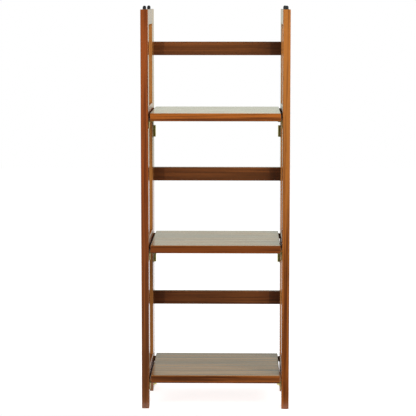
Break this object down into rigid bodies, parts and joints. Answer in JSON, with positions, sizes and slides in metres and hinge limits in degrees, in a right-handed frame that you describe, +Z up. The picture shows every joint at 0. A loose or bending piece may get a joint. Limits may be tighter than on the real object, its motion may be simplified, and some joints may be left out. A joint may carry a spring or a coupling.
{
  "type": "folding bookcase",
  "caption": "Narrow open wooden bookcase with hinged side frames, flip-up shelves and stacking pegs, for storing books upright; it folds flat.",
  "frame": {"origin": "centre of the case's footprint, on the floor", "axes": "+Z up, front of the bookcase towards -Y, +X to the viewer's right"},
  "size_m": [0.355, 0.279, 0.969],
  "materials": {
    "lacquered_wood": "gloss lacquer over honey-brown wood",
    "shelf_wood": "gloss lacquer over honey-brown wood",
    "dowel_wood": "bare beech",
    "brass": "polished brass plate",
    "peg_black": "satin black",
    "steel": "plain steel pin",
    "washer_nylon": "brown nylon"
  },
  "bodies": {
    "back_frame": {"back_rail_bottom": "lacquered_wood", "back_rail_middle": "lacquered_wood", "back_rail_top": "lacquered_wood", "back_post_left": "lacquered_wood", "left_hinge_post_leaves": "brass", "left_hinge_pins": "brass", "left_hinge_post_screws": "brass", "back_post_right": "lacquered_wood", "right_hinge_post_leaves": "brass", "right_hinge_pins": "brass", "right_hinge_post_screws": "brass", "back_rail_dowels": "dowel_wood", "shelf_pivot_pins": "steel", "pivot_washers": "washer_nylon"},
    "left_side": {"left_front_stile": "lacquered_wood", "left_rear_stile": "lacquered_wood", "left_top_rail": "lacquered_wood", "left_shelf_rail_bottom": "lacquered_wood", "left_shelf_rail_middle": "lacquered_wood", "left_shelf_rail_top": "lacquered_wood", "left_frame_dowels": "dowel_wood", "left_stacking_pegs": "peg_black", "left_shelf_rests": "brass", "left_rest_screws": "brass", "left_hinge_side_leaves": "brass", "left_hinge_side_screws": "brass"},
    "right_side": {"right_front_stile": "lacquered_wood", "right_rear_stile": "lacquered_wood", "right_top_rail": "lacquered_wood", "right_shelf_rail_bottom": "lacquered_wood", "right_shelf_rail_middle": "lacquered_wood", "right_shelf_rail_top": "lacquered_wood", "right_frame_dowels": "dowel_wood", "right_stacking_pegs": "peg_black", "right_shelf_rests": "brass", "right_rest_screws": "brass", "right_hinge_side_leaves": "brass", "right_hinge_side_screws": "brass"},
    "shelf_bottom": {"shelf_bottom": "shelf_wood"},
    "shelf_middle": {"shelf_middle": "shelf_wood"},
    "shelf_top": {"shelf_top": "shelf_wood"}
  },
  "joints": [
    {"name": "shelf_bottom_flip", "type": "hinge", "parent": "back_frame", "child": "shelf_bottom", "pos_m": [0, 0.1115, 0.0725], "axis": [-1, 0, 0], "range_deg": [0, 90]},
    {"name": "shelf_middle_flip", "type": "hinge", "parent": "back_frame", "child": "shelf_middle", "pos_m": [0, 0.1115, 0.389], "axis": [-1, 0, 0], "range_deg": [0, 90]},
    {"name": "shelf_top_flip", "type": "hinge", "parent": "back_frame", "child": "shelf_top", "pos_m": [0, 0.1115, 0.7055], "axis": [-1, 0, 0], "range_deg": [0, 90]},
    {"name": "left_side_fold", "type": "hinge", "parent": "back_frame", "child": "left_side", "pos_m": [-0.1561, 0.095, 0.48], "axis": [0, 0, 1], "range_deg": [0, 0.7]},
    {"name": "right_side_fold", "type": "hinge", "parent": "back_frame", "child": "right_side", "pos_m": [0.1561, 0.095, 0.48], "axis": [0, 0, -1], "range_deg": [0, 0.7]}
  ]
}
